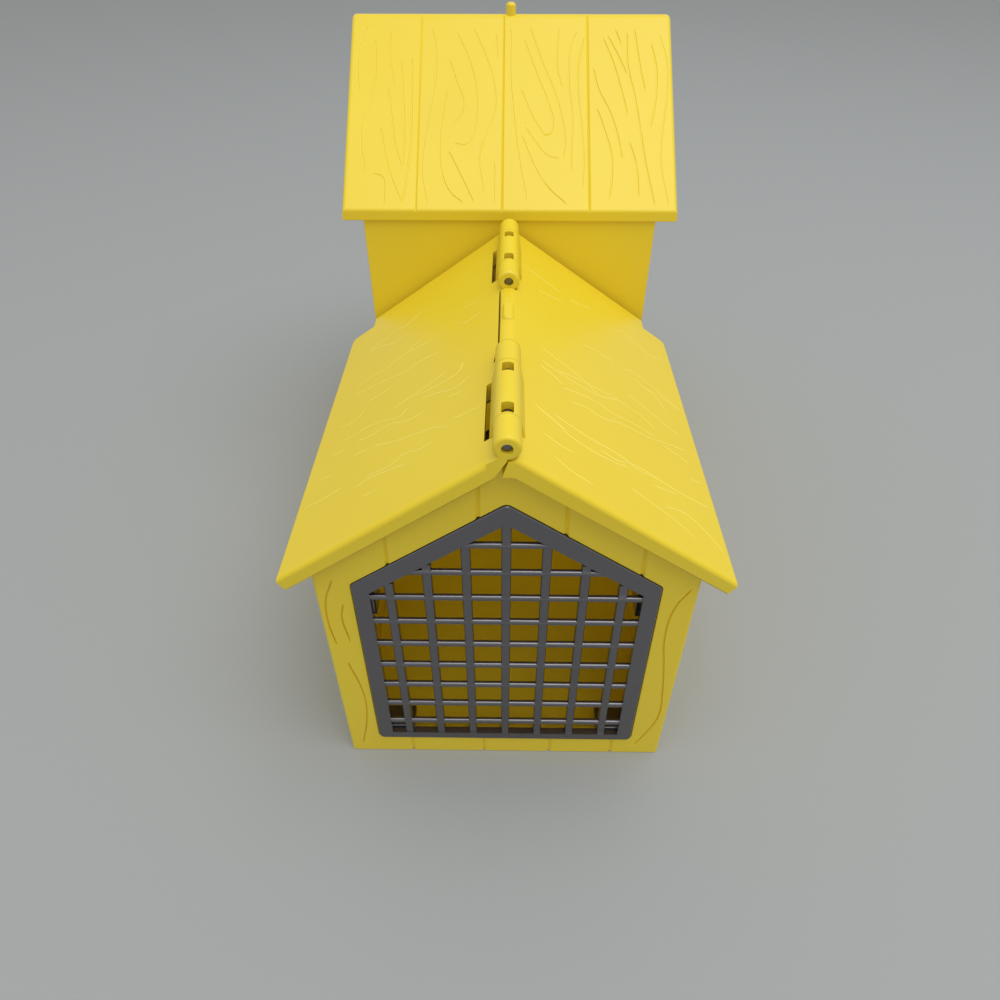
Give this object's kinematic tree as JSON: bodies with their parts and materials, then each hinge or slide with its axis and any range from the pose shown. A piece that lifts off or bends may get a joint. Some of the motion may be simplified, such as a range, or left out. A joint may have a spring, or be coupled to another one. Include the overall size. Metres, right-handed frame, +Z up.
{
  "type": "toy chicken coop",
  "caption": "Toy hen coop: a wire-fronted run whose roof leaf hinges open along the ridge, joined to a taller gabled hen house with a pop hole between them.",
  "frame": {"origin": "on the table, below the middle of the whole coop's box", "axes": "+Z up, the run's wire front faces -Y, and +X is to the right seen from the front"},
  "size_m": [0.1094, 0.2376, 0.1733],
  "materials": {
    "yellow_plastic": "satin",
    "grey_plastic": "satin",
    "steel": "drawn"
  },
  "bodies": {
    "coop": {"front_wall": "yellow_plastic", "run_left_wall": "yellow_plastic", "run_right_wall": "yellow_plastic", "run_floor": "yellow_plastic", "fixed_roof_panel": "yellow_plastic", "house_front_wall": "yellow_plastic", "house_left_wall": "yellow_plastic", "house_right_wall": "yellow_plastic", "house_back_wall": "yellow_plastic", "house_floor": "yellow_plastic", "house_front_roof": "yellow_plastic", "house_back_roof": "yellow_plastic", "ridge_peg": "yellow_plastic", "front_grille": "grey_plastic", "front_hinge_pin": "steel", "rear_hinge_pin": "steel"},
    "roof_leaf": {"hinged_roof_panel": "yellow_plastic"}
  },
  "joints": [
    {"name": "roof_hinge", "type": "hinge", "parent": "coop", "child": "roof_leaf", "pos_m": [0, -0.0593, 0.1209], "axis": [0, 1, 0], "range_deg": [0, 245]}
  ]
}
